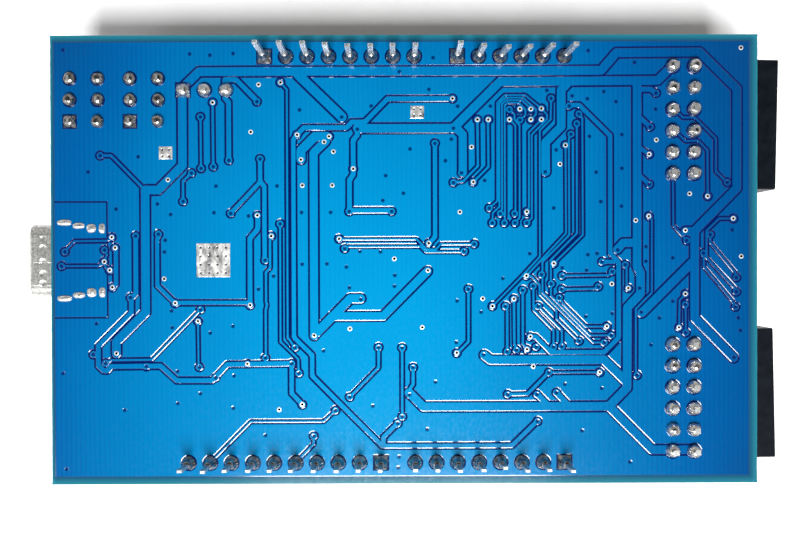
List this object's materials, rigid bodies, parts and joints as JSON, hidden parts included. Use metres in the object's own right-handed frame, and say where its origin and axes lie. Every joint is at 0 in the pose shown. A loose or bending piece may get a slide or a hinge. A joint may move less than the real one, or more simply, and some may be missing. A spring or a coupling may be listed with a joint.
{
  "type": "microcontroller dev board",
  "caption": "Blue microcontroller board lying solder side up on its shield sockets, with a USB socket at one end and two double-row edge sockets at the other.",
  "frame": {"origin": "middle of the bounding box in plan, on the rest plane where the mouths of the four shield sockets lie", "axes": "the board lies as pictured, component side down: +Z out of the solder side (up), +X from the USB socket towards the two edge sockets, +Y towards the power and analog row (the top of the picture)"},
  "size_m": [0.0906, 0.0534, 0.0144],
  "materials": {
    "laminate": "satin",
    "mask": "gloss",
    "solder": "gloss",
    "tinned_metal": "gloss",
    "gold_contact": "satin",
    "sheet_metal": "satin",
    "black_moulding": "matte",
    "chip_moulding": "matte",
    "ferrite": "matte",
    "capacitor_case": "satin",
    "ceramic": "satin",
    "lamp": "satin"
  },
  "bodies": {
    "board": {"analog_contacts": "tinned_metal", "analog_socket": "black_moulding", "board_laminate": "laminate", "bulk_capacitors": "capacitor_case", "ceramic_capacitors": "ceramic", "chip_end_caps": "tinned_metal", "component_side_mask": "mask", "controller_chip": "chip_moulding", "controller_leads": "tinned_metal", "digital_high_contacts": "tinned_metal", "digital_high_socket": "black_moulding", "digital_low_contacts": "tinned_metal", "digital_low_socket": "black_moulding", "digital_row_solder_joints": "solder", "edge_solder_joints": "solder", "flash_chip": "chip_moulding", "flash_leads": "tinned_metal", "inductors": "ferrite", "jumper_base": "black_moulding", "jumper_pins": "tinned_metal", "jumper_solder_joints": "solder", "lower_edge_contacts": "tinned_metal", "lower_edge_socket": "black_moulding", "memory_chip": "chip_moulding", "memory_leads": "tinned_metal", "oscillator_cans": "sheet_metal", "power_contacts": "tinned_metal", "power_row_solder_joints": "solder", "power_socket": "black_moulding", "regulator_chips": "chip_moulding", "reset_button_body": "black_moulding", "reset_button_cover": "sheet_metal", "reset_button_terminals": "tinned_metal", "resistors": "chip_moulding", "solder_side_mask": "mask", "status_lamps": "lamp", "switch_a_cover": "sheet_metal", "switch_b_cover": "sheet_metal", "switch_bases": "black_moulding", "switch_solder_joints": "solder", "switch_terminals": "tinned_metal", "tinned_pads": "solder", "upper_edge_contacts": "tinned_metal", "upper_edge_socket": "black_moulding", "usb_bridge_chip": "chip_moulding", "usb_contacts": "gold_contact", "usb_insert": "black_moulding", "usb_shell": "sheet_metal", "usb_solder_joints": "solder"},
    "switch_a_knob": {"switch_a_slider": "black_moulding"},
    "switch_b_knob": {"switch_b_slider": "black_moulding"},
    "shunt": {"shunt_housing": "black_moulding", "shunt_clips": "gold_contact"},
    "reset_plunger": {"reset_button_plunger": "black_moulding"}
  },
  "joints": [
    {"name": "switch_a_slide", "type": "slide", "parent": "board", "child": "switch_a_knob", "axis": [0, 1, 0], "range_m": [0, 0.002]},
    {"name": "switch_b_slide", "type": "slide", "parent": "board", "child": "switch_b_knob", "axis": [0, 1, 0], "range_m": [0, 0.002]},
    {"name": "shunt_pull", "type": "slide", "parent": "board", "child": "shunt", "axis": [0, 0, -1], "range_m": [0, 0.0066]},
    {"name": "reset_press", "type": "slide", "parent": "board", "child": "reset_plunger", "axis": [0, 0, 1], "range_m": [0, 0.00025], "stiffness_N_per_m": 4000, "springref_m": -0.0001}
  ]
}
